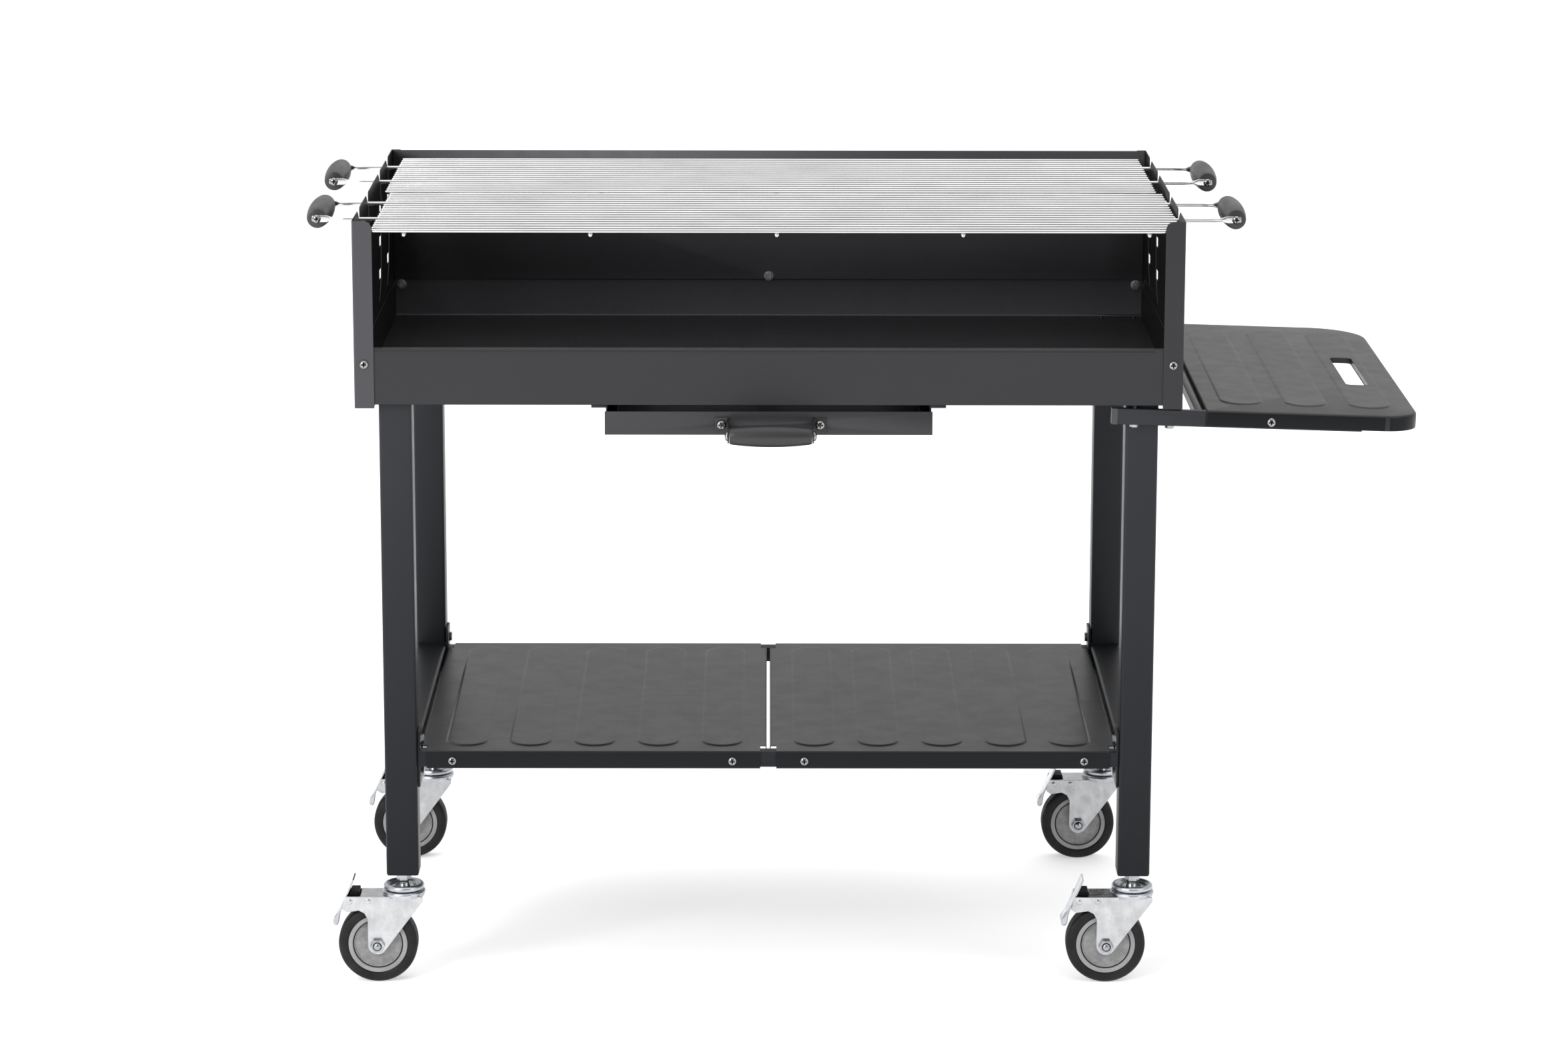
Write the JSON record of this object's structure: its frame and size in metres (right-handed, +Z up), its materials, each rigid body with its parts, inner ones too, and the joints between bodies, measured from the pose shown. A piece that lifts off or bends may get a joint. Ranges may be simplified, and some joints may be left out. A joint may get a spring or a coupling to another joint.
{
  "type": "charcoal grill cart",
  "caption": "Open-front charcoal grill cart with lift-out cooking grids, sliding ash drawer, side shelf, ribbed lower shelf and braked swivel castors.",
  "frame": {"origin": "on the floor, under the middle of the footprint of the whole cart with its side shelf and grips", "axes": "+Z up, +X to the side shelf, on the right of someone who faces the open front, +Y from the open front to the back panel"},
  "size_m": [1.3816, 0.6892, 0.9775],
  "materials": {
    "frame_coat": "satin black powder coat, fine orange peel",
    "shelf_coat": "satin graphite powder coat",
    "firebox_coat": "satin black high-temperature coat",
    "grid_steel": "polished wire",
    "grip": "satin dark grey moulding",
    "zinc": "bright zinc plate",
    "brake_steel": "bright zinc plate, darker",
    "hub": "mottled grey",
    "tyre": "matt black rubber",
    "screw": "bright plated steel"
  },
  "bodies": {
    "cart": {"leg_front_left": "frame_coat", "leg_front_right": "frame_coat", "leg_rear_left": "frame_coat", "leg_rear_right": "frame_coat", "lower_rail_left": "frame_coat", "lower_rail_right": "frame_coat", "shelf_beam_front": "frame_coat", "shelf_beam_rear": "frame_coat", "lower_shelf_panel_left": "shelf_coat", "lower_shelf_panel_right": "shelf_coat", "side_panel_left": "firebox_coat", "side_panel_right": "firebox_coat", "back_panel": "firebox_coat", "charcoal_tray": "firebox_coat", "fascia_screw_left": "screw", "fascia_screw_right": "screw", "drawer_rail_left": "frame_coat", "drawer_rail_right": "frame_coat", "side_shelf": "shelf_coat", "side_shelf_arm_front": "frame_coat", "side_shelf_arm_rear": "frame_coat", "side_shelf_crossbar": "frame_coat", "castor_front_left_stem": "zinc", "castor_front_right_stem": "zinc", "castor_rear_left_stem": "zinc", "castor_rear_right_stem": "zinc"},
    "drawer": {"ash_drawer": "frame_coat", "drawer_handle_bracket_left": "frame_coat", "drawer_handle_bracket_right": "frame_coat", "drawer_grip": "grip"},
    "grid_front_lifted": {"grid_front": "grid_steel", "grid_front_handle_rod_near": "grid_steel", "grid_front_handle_rod_far": "grid_steel", "grid_front_grip_left": "grip", "grid_front_grip_right": "grip"},
    "grid_rear_lifted": {"grid_rear": "grid_steel", "grid_rear_handle_rod_near": "grid_steel", "grid_rear_handle_rod_far": "grid_steel", "grid_rear_grip_left": "grip", "grid_rear_grip_right": "grip"},
    "castor_front_left": {"castor_front_left_fork": "zinc", "castor_front_left_axle": "zinc"},
    "castor_front_left_wheel": {"castor_front_left_tyre": "tyre", "castor_front_left_hub": "hub"},
    "castor_front_left_brake": {"castor_front_left_brake_pedal": "brake_steel"},
    "castor_front_right": {"castor_front_right_fork": "zinc", "castor_front_right_axle": "zinc"},
    "castor_front_right_wheel": {"castor_front_right_tyre": "tyre", "castor_front_right_hub": "hub"},
    "castor_front_right_brake": {"castor_front_right_brake_pedal": "brake_steel"},
    "castor_rear_left": {"castor_rear_left_fork": "zinc", "castor_rear_left_axle": "zinc"},
    "castor_rear_left_wheel": {"castor_rear_left_tyre": "tyre", "castor_rear_left_hub": "hub"},
    "castor_rear_left_brake": {"castor_rear_left_brake_pedal": "brake_steel"},
    "castor_rear_right": {"castor_rear_right_fork": "zinc", "castor_rear_right_axle": "zinc"},
    "castor_rear_right_wheel": {"castor_rear_right_tyre": "tyre", "castor_rear_right_hub": "hub"},
    "castor_rear_right_brake": {"castor_rear_right_brake_pedal": "brake_steel"}
  },
  "joints": [
    {"name": "ash_drawer_slide", "type": "slide", "parent": "cart", "child": "drawer", "axis": [0, -1, 0], "range_m": [0, 0.36]},
    {"name": "grid_front_lift", "type": "slide", "parent": "cart", "child": "grid_front_lifted", "axis": [0, 0, 1], "range_m": [0, 0.25]},
    {"name": "grid_rear_lift", "type": "slide", "parent": "cart", "child": "grid_rear_lifted", "axis": [0, 0, 1], "range_m": [0, 0.25]},
    {"name": "castor_front_left_swivel", "type": "hinge", "parent": "cart", "child": "castor_front_left", "pos_m": [-0.56809, -0.24904, 0.1194], "axis": [0, 0, 1], "continuous": true},
    {"name": "castor_front_left_wheel_spin", "type": "hinge", "parent": "castor_front_left", "child": "castor_front_left_wheel", "pos_m": [-0.60109, -0.24904, 0.05], "axis": [0, 1, 0], "continuous": true},
    {"name": "castor_front_left_brake_press", "type": "hinge", "parent": "castor_front_left", "child": "castor_front_left_brake", "pos_m": [-0.63539, -0.24904, 0.1072], "axis": [0, -1, 0], "range_deg": [0, 9]},
    {"name": "castor_front_right_swivel", "type": "hinge", "parent": "cart", "child": "castor_front_right", "pos_m": [0.34991, -0.24904, 0.1194], "axis": [0, 0, 1], "continuous": true},
    {"name": "castor_front_right_wheel_spin", "type": "hinge", "parent": "castor_front_right", "child": "castor_front_right_wheel", "pos_m": [0.31691, -0.24904, 0.05], "axis": [0, 1, 0], "continuous": true},
    {"name": "castor_front_right_brake_press", "type": "hinge", "parent": "castor_front_right", "child": "castor_front_right_brake", "pos_m": [0.28261, -0.24904, 0.1072], "axis": [0, -1, 0], "range_deg": [0, 9]},
    {"name": "castor_rear_left_swivel", "type": "hinge", "parent": "cart", "child": "castor_rear_left", "pos_m": [-0.56809, 0.29446, 0.1194], "axis": [0, 0, 1], "continuous": true},
    {"name": "castor_rear_left_wheel_spin", "type": "hinge", "parent": "castor_rear_left", "child": "castor_rear_left_wheel", "pos_m": [-0.60109, 0.29446, 0.05], "axis": [0, 1, 0], "continuous": true},
    {"name": "castor_rear_left_brake_press", "type": "hinge", "parent": "castor_rear_left", "child": "castor_rear_left_brake", "pos_m": [-0.63539, 0.29446, 0.1072], "axis": [0, -1, 0], "range_deg": [0, 9]},
    {"name": "castor_rear_right_swivel", "type": "hinge", "parent": "cart", "child": "castor_rear_right", "pos_m": [0.34991, 0.29446, 0.1194], "axis": [0, 0, 1], "continuous": true},
    {"name": "castor_rear_right_wheel_spin", "type": "hinge", "parent": "castor_rear_right", "child": "castor_rear_right_wheel", "pos_m": [0.31691, 0.29446, 0.05], "axis": [0, 1, 0], "continuous": true},
    {"name": "castor_rear_right_brake_press", "type": "hinge", "parent": "castor_rear_right", "child": "castor_rear_right_brake", "pos_m": [0.28261, 0.29446, 0.1072], "axis": [0, -1, 0], "range_deg": [0, 9]}
  ]
}
